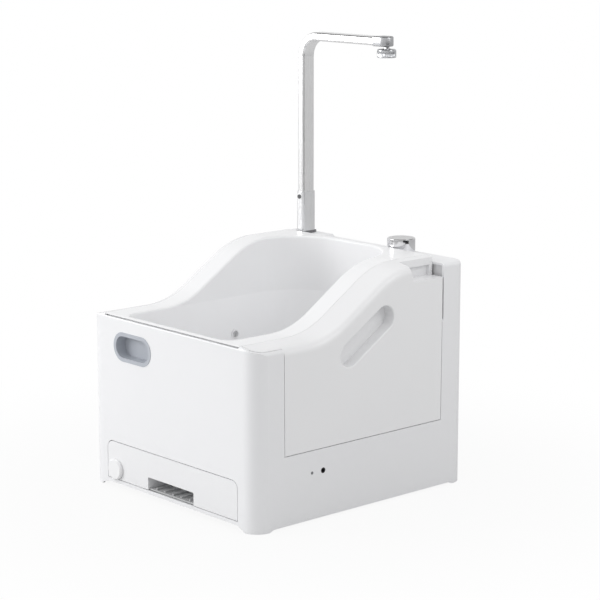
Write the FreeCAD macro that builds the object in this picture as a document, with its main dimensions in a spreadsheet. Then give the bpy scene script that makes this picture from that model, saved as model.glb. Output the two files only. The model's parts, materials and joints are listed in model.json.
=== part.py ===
import FreeCAD, Part
import math
import os

import Sketcher

# Pet bathtub: a white housing with a lift-out tub, a filter drawer under it, a
# flow knob and a swivelling shower spout on the rear deck.
# Millimetres. +X is the right side, -Y the front, +Z up. The origin is the
# middle of the footprint, on the floor.

V = FreeCAD.Vector

SIZES = {
    # overall
    "body_width": 430, "body_depth": 476, "front_height": 302, "rim_rise": 97, "deck_drop": 11,
    "corner_radius": 28, "top_edge_radius": 7, "wall": 4, "lip": 6,
    "arch_front": 9, "arch_side": 4, "arch_end": 26, "arch_step": 18, "foot_lift": 0.6,
    # fits
    "seam": 1.2, "rest_gap": 0.3, "slide_gap": 0.4, "turn_gap": 0.2, "thread_gap": 0.05,
    # side openings of the housing between its corner columns, filled by the tub's skirts
    "column_front": 59, "column_rear": 57, "skirt_bottom": 118.6, "skirt_slant": 3,
    # tub: the rim's sweep in side view, then the basin
    "tub_wall": 3.5, "level_run": 98, "sweep_angle": 33, "sweep_radius": 148, "rim_round": 14,
    "crest_side": 39, "parting": 0.5, "shoulder_drop": 8.5, "shoulder_shift": 20,
    "lip_round": 4, "mouth_round": 2.5, "flange_width": 10, "flange_thick": 2.5, "flange_end": 24,
    "apron": 16, "rim_side": 80, "rim_front": 13, "rim_rear": 7, "basin_front_round": 20,
    "basin_rear_round": 104, "side_taper": 29, "front_taper": 73, "rear_taper": 42,
    "floor_front_round": 40, "floor_rear_round": 80,
    # brow of the tub over the front panel, with a shadow gap below it
    "brow_side": 41, "brow_thick": 1.6, "brow_gap": 2.4,
    # handle recesses in the skirts, measured from the start of the sweep and the front height
    "handle_low_run": 106, "handle_low_drop": 38, "handle_high_run": 185, "handle_high_rise": 12,
    "handle_half": 20, "handle_depth": 22,
    # grip notches at the rear top of the skirts
    "notch_length": 72, "notch_slant": 9, "notch_drop": 33, "notch_width": 27, "undercut_width": 34,
    "undercut_height": 18,
    # drain of the tub and overflow port
    "drain_run": 57, "drain_bore": 22, "strainer_radius": 27, "strainer_plate": 2,
    "strainer_slots": 12, "tail_length": 12, "gasket_thick": 3, "gasket_radius": 31,
    "port_radius": 8, "port_run": 246, "port_drop": 65, "port_depth": 9,
    # inner tray that carries the tub
    "tray_top": 103, "tray_plate": 3, "tray_pad": 5, "ledge": 6, "partition_gap": 3.5,
    # base and feet
    "base_bottom": 9.5, "base_plate": 3, "pad_radius": 11, "pad_inset": 29,
    "screw_radius": 2, "screw_head": 4, "boss_radius": 6, "boss_height": 26, "boss_inset": 88,
    # filter drawer
    "drawer_side": 43.6, "drawer_top": 81.2, "drawer_bottom": 16.6, "drawer_round": 13,
    "drawer_front_plate": 3, "tray_side": 11.4, "tray_depth": 218, "tray_wall": 2.5,
    "tray_rim": 72, "pull_half": 60.5, "pull_top": 38.5, "pull_depth": 40,
    "rib_height": 3, "rib_width": 2.4, "runner_plate": 3,
    "seat_width": 16, "filter_border": 9, "filter_seat": 52, "filter_thick": 5,
    "screen_thick": 1.2, "screen_slot": 20, "screen_slot_high": 6,
    # drain valve on the drawer
    "valve_side": 23.4, "valve_z": 33.7, "valve_radius": 18, "valve_proud": 6, "stem_radius": 5,
    "stem_length": 26, "seal_radius": 9, "seal_thick": 2,
    # grip in the front panel
    "grip_side": 116.5, "grip_drop": 51, "grip_length": 101, "grip_height": 50, "grip_ring": 6.5,
    "grip_depth": 20, "grip_proud": 0.8, "grip_wall": 1.6,
    # rear deck and spout
    "plinth_height": 5, "plinth_length": 98, "plinth_round": 12,
    "spout_side": 55, "spout_back": 31, "collar_thick": 3, "collar_grow": 3,
    "sleeve_wall": 2, "sleeve_round": 6, "sleeve_height": 80,
    "pipe_x": 15, "pipe_y": 28, "pipe_round": 4, "pipe_wall": 1.5, "pipe_height": 360,
    "pipe_bend": 37, "pipe_reach": 186, "tail_seat": 20,
    "spigot_radius": 8.8, "spigot_length": 36, "bush_wall": 7, "bush_length": 44,
    "barb_radius": 5, "barb_length": 22, "nut_wall": 2.8, "nut_thick": 6,
    "button_radius": 3.6, "button_drop": 9, "button_proud": 1.6, "button_seat": 0.8,
    "block_length": 42, "block_height": 17, "block_width": 29, "nozzle_back": 20,
    "neck_radius": 4.8, "ball_radius": 6.5, "ball_sunk": 3, "nozzle_radius": 16.5,
    "nozzle_height": 15, "nozzle_gap": 4, "knurl_depth": 0.8, "knurl_count": 36,
    # flow knob
    "knob_side": 129, "knob_radius": 24.3, "knob_height": 25, "knob_lift": 0.6,
    "cap_radius": 21.5, "cap_thick": 2.4, "knob_shaft": 3, "sensor_radius": 12,
    "sensor_height": 12, "sensor_neck": 4.5,
    # right side
    "jack_run": 145, "jack_z": 82, "jack_radius": 4.6, "jack_bore": 3.2, "jack_pin": 1,
    "jack_body": 15, "jack_depth": 11, "jack_pin_short": 5.5, "led_ahead": 24,
    "led_radius": 2.5, "led_length": 9,
    # pump and hoses
    "pump_side": 127, "pump_back": 146, "pump_z": 50, "pump_radius": 27, "motor_radius": 23,
    "head_length": 28, "motor_length": 48, "hose_radius": 6, "hose_wall": 1.5,
    "hose_bend": 28, "suction_aside": 40, "suction_z": 34, "clip_wall": 1.5, "clip_width": 7,
    # control board
    "board_aside": 10, "board_drop": 58, "board_long": 84, "board_high": 52,
    "board_thick": 1.6, "standoff": 6,
}

doc = FreeCAD.newDocument("pet_bathtub")
sheet = doc.addObject("Spreadsheet::Sheet", "sizes")
for row, (alias, number) in enumerate(SIZES.items(), start=1):
    sheet.set(f"A{row}", str(number))
    sheet.setAlias(f"A{row}", alias)
doc.recompute()


# --- sizes that carry their own spreadsheet expression ---------------------------

class Size:
    """A length or angle: its number now, and the expression that keeps it bound to the sheet."""

    def __init__(self, number, text):
        self.number = number
        self.text = text

    def __add__(self, other):
        other = as_size(other)
        return Size(self.number + other.number, f"({self.text} + {other.text})")

    def __radd__(self, other):
        return as_size(other) + self

    def __sub__(self, other):
        other = as_size(other)
        return Size(self.number - other.number, f"({self.text} - {other.text})")

    def __rsub__(self, other):
        return as_size(other) - self

    def __mul__(self, other):
        other = as_size(other)
        return Size(self.number * other.number, f"({self.text} * {other.text})")

    def __rmul__(self, other):
        return as_size(other) * self

    def __truediv__(self, other):
        other = as_size(other)
        return Size(self.number / other.number, f"({self.text} / {other.text})")

    def __neg__(self):
        return as_size(0) - self


def as_size(value):
    return value if isinstance(value, Size) else Size(float(value), f"{float(value):.6g}")


class Sheet:
    """Reads a named size of the sheet, as s.body_width."""

    def __getattr__(self, alias):
        return Size(float(sheet.get(alias)), f"sizes.{alias}")


s = Sheet()


def bind(thing, prop, value):
    """Give a property its value, bound to the sheet when the value comes from it."""
    value = as_size(value)
    thing.setExpression(prop, value.text)


def place(thing, x=0, y=0, z=0, axis=None, angle=0):
    """Turn a thing about an axis and bind where it stands."""
    if axis is not None:
        thing.Placement = FreeCAD.Placement(V(0, 0, 0), FreeCAD.Rotation(axis, angle))
    for letter, value in zip("xyz", (x, y, z)):
        bind(thing, f"Placement.Base.{letter}", value)
    return thing


# --- solids ------------------------------------------------------------------------

def box(x0, x1, y0, y1, z0, z1):
    solid = doc.addObject("Part::Box", "block")
    low = [as_size(value) for value in (x0, y0, z0)]
    high = [as_size(value) for value in (x1, y1, z1)]
    for prop, start, end in zip(("Length", "Width", "Height"), low, high):
        bind(solid, prop, end - start)
    return place(solid, *low)


TURNS = {"x": (V(0, 1, 0), 90), "y": (V(1, 0, 0), -90), "z": (None, 0)}


def cylinder(radius, length, x, y, z, axis="z"):
    """A round bar that starts at x, y, z and runs along its axis."""
    solid = doc.addObject("Part::Cylinder", "bar")
    bind(solid, "Radius", radius)
    bind(solid, "Height", length)
    turn, angle = TURNS[axis]
    return place(solid, x, y, z, turn, angle)


def fuse(*shapes):
    joined = doc.addObject("Part::MultiFuse", "joined")
    joined.Shapes = list(shapes)
    joined.Refine = True
    return joined


def cut(base, *tools):
    tool = tools[0] if len(tools) == 1 else fuse(*tools)
    result = doc.addObject("Part::Cut", "cut")
    result.Base = base
    result.Tool = tool
    return result


def common(*shapes):
    shared = doc.addObject("Part::MultiCommon", "shared")
    shared.Shapes = list(shapes)
    return shared


def mirrored(source, normal=V(1, 0, 0)):
    copy = doc.addObject("Part::Mirroring", "mirrored")
    copy.Source = source
    copy.Normal = normal
    copy.Base = V(0, 0, 0)
    return copy


def both_sides(source):
    return source, mirrored(source)


def rounded(base, radius, chosen):
    """Round the edges that chosen(edge) picks."""
    doc.recompute()
    picked = []
    for number, edge in enumerate(base.Shape.Edges, start=1):
        if chosen(edge):
            picked.append((number, radius.number, radius.number))
    fillet = doc.addObject("Part::Fillet", "rounded")
    fillet.Base = base
    fillet.Edges = picked
    return fillet


# --- sketches ----------------------------------------------------------------------

class Outline:
    """A sketch whose points are bound to the sheet one by one."""

    def __init__(self, sketch):
        self.sketch = sketch

    def hold(self, kind, geometry, point, value):
        value = as_size(value)
        rule = Sketcher.Constraint(kind, -1, 1, geometry, point, value.number)
        number = self.sketch.addConstraint(rule)
        self.sketch.setExpression(f"Constraints[{number}]", value.text)

    def hold_point(self, geometry, point, x, y):
        self.hold("DistanceX", geometry, point, x)
        self.hold("DistanceY", geometry, point, y)

    def polygon(self, points):
        points = [(as_size(x), as_size(y)) for x, y in points]
        first = self.sketch.GeometryCount
        for start, end in zip(points, points[1:] + points[:1]):
            line = Part.LineSegment(V(start[0].number, start[1].number, 0),
                                    V(end[0].number, end[1].number, 0))
            self.sketch.addGeometry(line, False)
        for number in range(len(points)):
            following = first + (number + 1) % len(points)
            link = Sketcher.Constraint("Coincident", first + number, 2, following, 1)
            self.sketch.addConstraint(link)
            self.hold_point(first + number, 1, *points[number])

    def circle(self, x, y, radius):
        x, y, radius = as_size(x), as_size(y), as_size(radius)
        ring = Part.Circle(V(x.number, y.number, 0), V(0, 0, 1), radius.number)
        number = self.sketch.addGeometry(ring, False)
        self.hold_point(number, 3, x, y)
        rule = self.sketch.addConstraint(Sketcher.Constraint("Radius", number, radius.number))
        self.sketch.setExpression(f"Constraints[{rule}]", radius.text)

    def rounded_box(self, x0, x1, y0, y1, low_round, high_round=None):
        """A rectangle with rounded corners: one radius for its low-y pair, one for its high-y pair."""
        x0, x1, y0, y1 = (as_size(value) for value in (x0, x1, y0, y1))
        low, high = as_size(low_round), as_size(high_round or low_round)
        corners = ((x1 - low, y0 + low, low, -90), (x1 - high, y1 - high, high, 0),
                   (x0 + high, y1 - high, high, 90), (x0 + low, y0 + low, low, 180))
        arcs = []
        for x, y, radius, start in corners:
            ring = Part.Circle(V(x.number, y.number, 0), V(0, 0, 1), radius.number)
            arc = Part.ArcOfCircle(ring, math.radians(start), math.radians(start + 90))
            arcs.append(self.sketch.addGeometry(arc, False))
        for number, arc in enumerate(arcs):
            following = arcs[(number + 1) % 4]
            end = self.sketch.getPoint(arc, 2)
            start = self.sketch.getPoint(following, 1)
            line = self.sketch.addGeometry(Part.LineSegment(end, start), False)
            self.sketch.addConstraint(Sketcher.Constraint("Tangent", arc, 2, line, 1))
            self.sketch.addConstraint(Sketcher.Constraint("Tangent", line, 2, following, 1))
        for arc, (x, y, radius, start) in zip(arcs, corners):
            self.hold_point(arc, 3, x, y)
            rule = self.sketch.addConstraint(Sketcher.Constraint("Radius", arc, radius.number))
            self.sketch.setExpression(f"Constraints[{rule}]", radius.text)


# the sketch's own X and Y run along these directions of the model
VIEWS = {
    "top": FreeCAD.Rotation(),
    "front": FreeCAD.Rotation(V(1, 0, 0), 90),
    "side": FreeCAD.Rotation(V(1, 1, 1), 120),
}


def drawn(view):
    sketch = doc.addObject("Sketcher::SketchObject", "outline")
    sketch.Placement = FreeCAD.Placement(V(0, 0, 0), VIEWS[view])
    return Outline(sketch)


def pushed(outline, start, end, view="top"):
    """A drawn outline made solid from one level to another: z for top, -y for front, x for side."""
    start, end = as_size(start), as_size(end)
    solid = doc.addObject("Part::Extrusion", "pushed")
    solid.Base = outline.sketch
    solid.DirMode = "Normal"
    solid.Solid = True
    bind(solid, "LengthFwd", end)
    bind(solid, "LengthRev", -start)
    return solid


def rounded_prism(x0, x1, y0, y1, z0, z1, low_round, high_round=None):
    outline = drawn("top")
    outline.rounded_box(x0, x1, y0, y1, low_round, high_round)
    return pushed(outline, z0, z1)


def front_prism(x0, x1, z0, z1, y0, y1, low_round, high_round=None):
    outline = drawn("front")
    outline.rounded_box(x0, x1, z0, z1, low_round, high_round)
    return pushed(outline, -as_size(y1), -as_size(y0))


def body_sketch(body, role, name):
    plane = [item for item in body.Origin.OriginFeatures if item.Role == role][0]
    sketch = body.newObject("Sketcher::SketchObject", name)
    sketch.AttachmentSupport = (plane, [""])
    sketch.MapMode = "FlatFace"
    return Outline(sketch)


def turned(label, points, x, y, z=0):
    """A body of revolution: points are radius and height, the axis stands at x, y."""
    body = doc.addObject("PartDesign::Body", label + "_body")
    outline = body_sketch(body, "XZ_Plane", label + "_profile")
    outline.polygon(points)
    spin = body.newObject("PartDesign::Revolution", label + "_spin")
    spin.Profile = outline.sketch
    spin.ReferenceAxis = (outline.sketch, ["V_Axis"])
    spin.Angle = 360
    body.Tip = spin
    return place(body, x, y, z)


# --- list of the finished sub-parts ----------------------------------------------

subparts = {}


def keep(label, thing):
    """Name a finished sub-part. Its label is also its file name."""
    thing.Label = label
    subparts[label] = thing
    return thing


half_width = s.body_width / 2
half_depth = s.body_depth / 2
inner_half = half_width - s.wall
inner_depth = half_depth - s.wall
inner_round = s.corner_radius - s.wall
rim_top = s.front_height + s.rim_rise
deck = rim_top - s.deck_drop
skirt_front = -half_depth + s.column_front
skirt_rear = half_depth - s.column_rear
sweep_start = -half_depth + s.level_run
basin_half = half_width - s.rim_side
crest_half = half_width - s.crest_side
brow_half = half_width - s.brow_side
basin_front = -half_depth + s.rim_front
basin_rear = skirt_rear - s.rim_rear
floor_half = basin_half - s.side_taper
floor_front = basin_front + s.front_taper
floor_rear = basin_rear - s.rear_taper
tub_floor = s.tray_top + s.tray_pad + s.tub_wall + s.rest_gap + 0.2
drain_y = floor_front + s.drain_run
partition_front = skirt_rear + s.partition_gap
base_top = s.base_bottom + s.base_plate
boss_y = half_depth - s.boss_inset
drawer_half = half_width - s.drawer_side
tray_half = drawer_half - s.tray_side
valve_x = -drawer_half + s.valve_side
grip_x = -half_width + s.grip_side
grip_z = s.front_height - s.grip_drop
plinth = deck + s.plinth_height
sleeve_top = deck + s.sleeve_height
sleeve_x = s.pipe_x + 2 * s.sleeve_wall
sleeve_y = s.pipe_y + 2 * s.sleeve_wall
spigot_bottom = deck - s.spigot_length
bush_bottom = deck - s.bush_length
bush_bore = s.spigot_radius + s.turn_gap + s.thread_gap
bush_outer = bush_bore + s.bush_wall
pipe_tail = deck + s.tail_seat
spout_x = -half_width + s.spout_side
spout_y = half_depth - s.spout_back
pipe_centre = deck + s.pipe_height
nozzle_x = spout_x + s.pipe_reach + s.nozzle_back
nozzle_top = pipe_centre - s.block_height / 2 - s.nozzle_gap
knob_x = half_width - s.knob_side
knob_y = spout_y
jack_y = -half_depth + s.jack_run
led_y = jack_y - s.led_ahead
port_y = -half_depth + s.port_run
port_z = s.front_height - s.port_drop
wall_slope = (basin_half - floor_half) / (s.front_height - tub_floor)
port_wall = -basin_half + wall_slope * s.port_drop
pump_x = half_width - s.pump_side
pump_y = half_depth - s.pump_back
suction_x = pump_x + s.suction_aside
far = s.body_width          # reaches past any side


# --- housing -------------------------------------------------------------------------

def housing_block(top):
    """The full footprint up to one level, with its top edge rounded."""
    block = rounded_prism(-half_width, half_width, -half_depth, half_depth, s.foot_lift, top,
                          s.corner_radius)
    return rounded(block, s.top_edge_radius,
                   lambda edge: abs(edge.BoundBox.ZMin - top.number) < 0.01)


def stored(name, shape):
    feature = doc.addObject("Part::Feature", name)
    feature.Shape = shape
    return feature


def front_block():
    """The housing's front part: its top is level between the tub's crests, then falls away."""
    outer = s.front_height - s.shoulder_drop
    outline = drawn("front")
    outline.polygon([(-half_width, -1), (-half_width, outer), (-crest_half, s.front_height),
                     (crest_half, s.front_height), (half_width, outer), (half_width, -1)])
    crown = pushed(outline, -half_depth - 5, half_depth + 5, "front")
    doc.recompute()
    shoulders = []
    for edge in crown.Shape.Edges:
        middle = edge.valueAt((edge.FirstParameter + edge.LastParameter) / 2)
        if abs(middle.z - outer.number) < 0.01 and edge.BoundBox.YLength > 1:
            shoulders.append(edge)
    top = stored("crown", crown.Shape.makeFillet(s.top_edge_radius.number, shoulders))
    return common(housing_block(s.front_height), top)


def make_housing():
    low = common(front_block(), box(-far, far, -far, skirt_rear, 0, s.front_height))
    high = common(housing_block(deck),
                  box(-far, far, skirt_rear, far, 0, deck))
    spout_stand = front_prism(-half_width + s.plinth_round,
                              -half_width + s.plinth_round + s.plinth_length,
                              deck - s.corner_radius, plinth,
                              skirt_rear + 4, half_depth - s.plinth_round, 4,
                              s.plinth_height)
    hollow_low = rounded_prism(-inner_half, inner_half, -inner_depth, inner_depth, -1,
                               s.front_height - s.wall, inner_round)
    hollow_high = rounded_prism(-inner_half, inner_half, partition_front - 10, inner_depth, -1,
                                deck - s.wall, inner_round / 2, inner_round)
    side_opening = drawn("side")
    side_opening.polygon([(skirt_front + s.skirt_slant, s.skirt_bottom),
                          (skirt_rear - s.skirt_slant, s.skirt_bottom),
                          (skirt_rear, deck + far), (skirt_front, deck + far)])
    tub_seat = rounded_prism(-half_width + s.lip, half_width - s.lip, -half_depth + s.lip,
                             skirt_rear, s.tray_top, deck + far,
                             s.corner_radius - s.lip, 1)
    drawer_hole = front_prism(-drawer_half - s.seam, drawer_half + s.seam,
                              s.drawer_bottom - s.seam, s.drawer_top + s.seam,
                              -far, -half_depth + s.wall + 1, 2, s.drawer_round + s.seam)
    front_arch = drawn("front")
    front_arch.polygon([(-drawer_half - s.arch_step, -1), (-drawer_half - s.arch_step + 3, s.arch_front / 3),
                        (-drawer_half, s.arch_front), (drawer_half, s.arch_front),
                        (drawer_half + s.arch_step - 3, s.arch_front / 3), (drawer_half + s.arch_step, -1)])
    side_arch = drawn("side")
    side_arch.polygon([(-half_depth + s.arch_end, -1), (-half_depth + s.arch_end + 14, s.arch_side),
                       (half_depth - s.arch_end - 14, s.arch_side), (half_depth - s.arch_end, -1)])
    grip_hole = front_prism(grip_x - s.grip_length / 2 + s.grip_ring / 2,
                            grip_x + s.grip_length / 2 - s.grip_ring / 2,
                            grip_z - s.grip_height / 2 + s.grip_ring / 2,
                            grip_z + s.grip_height / 2 - s.grip_ring / 2,
                            -far, -half_depth + s.wall + 1,
                            (s.grip_height - s.grip_ring) / 2 - 0.01)
    brow_slot = box(-brow_half - s.seam, brow_half + s.seam, -far, -half_depth + s.lip + s.seam,
                    s.front_height - s.brow_thick - s.brow_gap, deck)
    holes = [
        cylinder(bush_outer + s.turn_gap, far, spout_x, spout_y,
                 deck - s.corner_radius - 1),
        cylinder(s.sensor_neck + s.turn_gap, far, knob_x, knob_y, deck - 20),
        cylinder(s.jack_radius + s.turn_gap, far, 0, jack_y, s.jack_z, "x"),
        cylinder(s.led_radius + s.turn_gap, far, 0, led_y, s.jack_z, "x"),
    ]
    shell = cut(fuse(low, high, spout_stand), hollow_low, hollow_high,
                pushed(side_opening, -far, far, "side"), tub_seat, drawer_hole,
                pushed(front_arch, half_depth - s.wall - 1, far, "front"),
                pushed(side_arch, -far, far, "side"), grip_hole, brow_slot, *holes)
    ledge_top = s.tray_top - s.tray_plate
    ledge = box(inner_half - s.ledge, inner_half + 1, -boss_y, boss_y, ledge_top - s.ledge,
                ledge_top - s.rest_gap)
    bosses = []
    for y in (-boss_y, as_size(0), boss_y):
        boss = cylinder(s.boss_radius, s.boss_height, inner_half - s.boss_radius + 1, y,
                        base_top + s.rest_gap)
        pilot = cylinder(s.screw_radius - s.thread_gap, s.boss_height,
                         inner_half - s.boss_radius + 1, y, base_top - 1)
        bosses.append(cut(boss, pilot))
    fittings = []
    for piece in [ledge] + bosses:
        fittings.extend(both_sides(piece))
    keep("housing", fuse(shell, *fittings))


# --- tub -----------------------------------------------------------------------------

def rim_curve(x, drop, inset, shift=0):
    """The side view of the rim at x as a closed wire, lowered by drop and shortened by inset.

    It runs level along the front, sweeps up through two equal arcs joined by a
    straight slope, and runs level again to the rear deck. The sweep starts later by shift.
    """
    angle = math.radians(s.sweep_angle.number)
    radius = s.sweep_radius.number
    start = sweep_start.number + shift
    front = -half_depth.number + s.lip.number + s.seam.number + inset
    rear = skirt_rear.number - s.seam.number - inset
    low = s.front_height.number - drop
    high = low + s.rim_rise.number
    slope = (s.rim_rise.number - 2 * radius * (1 - math.cos(angle))) / math.sin(angle)
    lower_end = V(0, start + radius * math.sin(angle), low + radius * (1 - math.cos(angle)))
    upper_start = lower_end + V(0, slope * math.cos(angle), slope * math.sin(angle))
    upper_end = upper_start + V(0, radius * math.sin(angle), radius * (1 - math.cos(angle)))
    half = angle / 2
    lower_mid = V(0, start + radius * math.sin(half), low + radius * (1 - math.cos(half)))
    upper_mid = V(0, upper_end.y - radius * math.sin(half), high - radius * (1 - math.cos(half)))
    bottom = s.tray_top.number + s.tray_pad.number
    corners = [V(0, rear, high), V(0, rear, bottom), V(0, front, bottom), V(0, front, low)]
    edges = [
        Part.makeLine(corners[3], V(0, start, low)),
        Part.Arc(V(0, start, low), lower_mid, lower_end).toShape(),
        Part.makeLine(lower_end, upper_start),
        Part.Arc(upper_start, upper_mid, upper_end).toShape(),
        Part.makeLine(upper_end, corners[0]),
        Part.makeLine(corners[0], corners[1]),
        Part.makeLine(corners[1], corners[2]),
        Part.makeLine(corners[2], corners[3]),
    ]
    wire = Part.Wire(edges)
    wire.translate(V(x, 0, 0))
    return wire


def rim_block(half, inset):
    """A block under the rim: level as far as its crest, then falling away to round shoulders."""
    crest = crest_half.number
    share = (half - crest) / (half_width.number - crest)
    middle = Part.Face(rim_curve(-crest, inset, inset)).extrude(V(2 * crest, 0, 0))
    sides = []
    for side in (-1, 1):
        near = rim_curve(side * crest, inset, inset)
        outer = rim_curve(side * half, inset + s.shoulder_drop.number * share, inset,
                          s.shoulder_shift.number * share)
        sides.append(Part.makeLoft([near, outer], True, True))
    block = middle.fuse(sides).removeSplitter()
    shoulders = []
    for edge in block.Edges:
        centre = edge.valueAt((edge.FirstParameter + edge.LastParameter) / 2)
        along_rim = abs(abs(centre.x) - half) < 0.01 and edge.BoundBox.YLength > 1
        if along_rim and centre.z > s.front_height.number - inset - s.shoulder_drop.number - 1:
            shoulders.append(edge)
    return block.makeFillet(s.rim_round.number - inset, shoulders)


def stadium(y0, z0, y1, z1, radius):
    """A slot on the side view between two centres, as a face at x = 0."""
    start, end = V(0, y0, z0), V(0, y1, z1)
    along = (end - start).normalize()
    across = V(0, -along.z, along.y) * radius
    edges = [
        Part.makeLine(start + across, end + across),
        Part.Arc(end + across, end + along * radius, end - across).toShape(),
        Part.makeLine(end - across, start - across),
        Part.Arc(start - across, start - along * radius, start + across).toShape(),
    ]
    return Part.Face(Part.Wire(edges))


def handle_pocket(grow):
    low_y, low_z = sweep_start + s.handle_low_run, s.front_height - s.handle_low_drop
    high_y, high_z = sweep_start + s.handle_high_run, s.front_height + s.handle_high_rise
    face = stadium(low_y.number, low_z.number, high_y.number, high_z.number,
                   s.handle_half.number + grow)
    face.translate(V(half_width.number - s.handle_depth.number - grow, 0, 0))
    return stored("handle_pocket", face.extrude(V(s.handle_depth.number + grow + 5, 0, 0)))


def notch_space(grow):
    """The grip notch at the top rear of each skirt: a step with an undercut below it."""
    front = skirt_rear - s.notch_length
    floor = rim_top - s.notch_drop
    side = drawn("side")
    side.polygon([(front - s.notch_slant - grow, rim_top + 5), (front - grow, floor - grow),
                  (skirt_rear + 5, floor - grow), (skirt_rear + 5, rim_top + 5)])
    step = pushed(side, half_width - s.notch_width - grow, half_width + 5, "side")
    undercut = box(half_width - s.undercut_width - grow, half_width + 5, front + 3 - grow,
                   skirt_rear - s.seam - s.tub_wall - 3 + grow, floor - grow,
                   floor + s.undercut_height + grow)
    return fuse(step, undercut)


def basin(grow):
    """The bathing space, or with grow the outside of its wall."""
    rim = drawn("top")
    rim.rounded_box(-basin_half - grow, basin_half + grow, basin_front - grow,
                    basin_rear + grow, s.basin_front_round + grow, s.basin_rear_round + grow)
    bind(rim.sketch, "Placement.Base.z", s.front_height)
    floor = drawn("top")
    floor.rounded_box(-floor_half - grow, floor_half + grow, floor_front - grow,
                      floor_rear + grow, s.floor_front_round + grow,
                      s.floor_rear_round + grow)
    bind(floor.sketch, "Placement.Base.z", tub_floor - grow)
    taper = doc.addObject("Part::Loft", "taper")
    taper.Sections = [floor.sketch, rim.sketch]
    taper.Solid = True
    taper.Ruled = True
    upper = rounded_prism(-basin_half - grow, basin_half + grow, basin_front - grow,
                          basin_rear + grow, s.front_height, s.front_height + s.rim_rise + 10,
                          s.basin_front_round + grow, s.basin_rear_round + grow)
    return fuse(taper, upper)


def tub_plan(inset):
    """Where the tub may be: the seat behind the front lip, and the full width at the skirts."""
    seat_half = half_width - s.lip - s.seam - inset
    top = s.front_height + s.rim_rise + 5
    seat = rounded_prism(-seat_half, seat_half, -half_depth + s.lip + s.seam + inset,
                         skirt_rear - s.seam - inset, s.tray_top, top,
                         s.corner_radius - s.lip - s.seam - inset, 1)
    skirts = drawn("side")
    front = skirt_front + s.seam + inset
    rear = skirt_rear - s.seam - inset
    skirts.polygon([(front + s.skirt_slant, s.skirt_bottom + s.seam - 2 * inset),
                    (rear - s.skirt_slant, s.skirt_bottom + s.seam - 2 * inset),
                    (rear, deck + far), (front, deck + far)])
    return fuse(common(seat, box(-far, far, -far, far, s.skirt_bottom + s.seam - 2 * inset, top)),
                pushed(skirts, -half_width + inset, half_width - inset, "side"))


def rim_edges(shape):
    """The rim's inner edge all round, and the mouths of the handle recesses."""
    inner, mouths = [], []
    reach = basin_half.number + 0.1
    for edge in shape.Edges:
        bounds = edge.BoundBox
        middle = edge.valueAt((edge.FirstParameter + edge.LastParameter) / 2)
        on_skirt = abs(abs(middle.x) - half_width.number) < 0.01 and bounds.XLength < 0.01
        beside = bounds.YMin > sweep_start.number + 60 and bounds.YMax < skirt_rear.number - 90
        between = bounds.ZMin > s.front_height.number - 70 and bounds.ZMax < rim_top.number - 50
        if on_skirt and beside and between:
            mouths.append(edge)
        over_basin = (bounds.XMin > -reach and bounds.XMax < reach
                      and bounds.YMin > basin_front.number - 0.1
                      and bounds.YMax < basin_rear.number + 0.1)
        if over_basin and bounds.ZMin > s.front_height.number - 1:
            on_wall = max(abs(middle.x) / basin_half.number,
                          middle.y / basin_rear.number, middle.y / basin_front.number)
            if on_wall > 0.7 and not (bounds.ZLength > 20 and bounds.YLength < 0.1):
                inner.append(edge)
    return inner, mouths


def panel_flange():
    """A ledge on the right side panel that carries the tub's rim along the crest."""
    half = half_width.number
    wall = s.tub_wall.number
    gap = s.thread_gap.number
    crest = crest_half
    under = cut(stored("flange_top", rim_block(half, wall + gap)),
                stored("flange_bottom", rim_block(half, wall + gap + s.flange_thick.number)))
    join = cut(stored("join_top", rim_block(half, wall - 1)),
               stored("join_bottom", rim_block(half, wall + gap + s.flange_thick.number)))
    span = (basin_front + s.flange_end, skirt_rear - s.flange_end / 2)
    return (common(under, box(crest - s.flange_width, crest + 4, *span, 0, rim_top)),
            common(join, box(crest + s.thread_gap, crest + 4, *span, 0, rim_top)))


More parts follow.
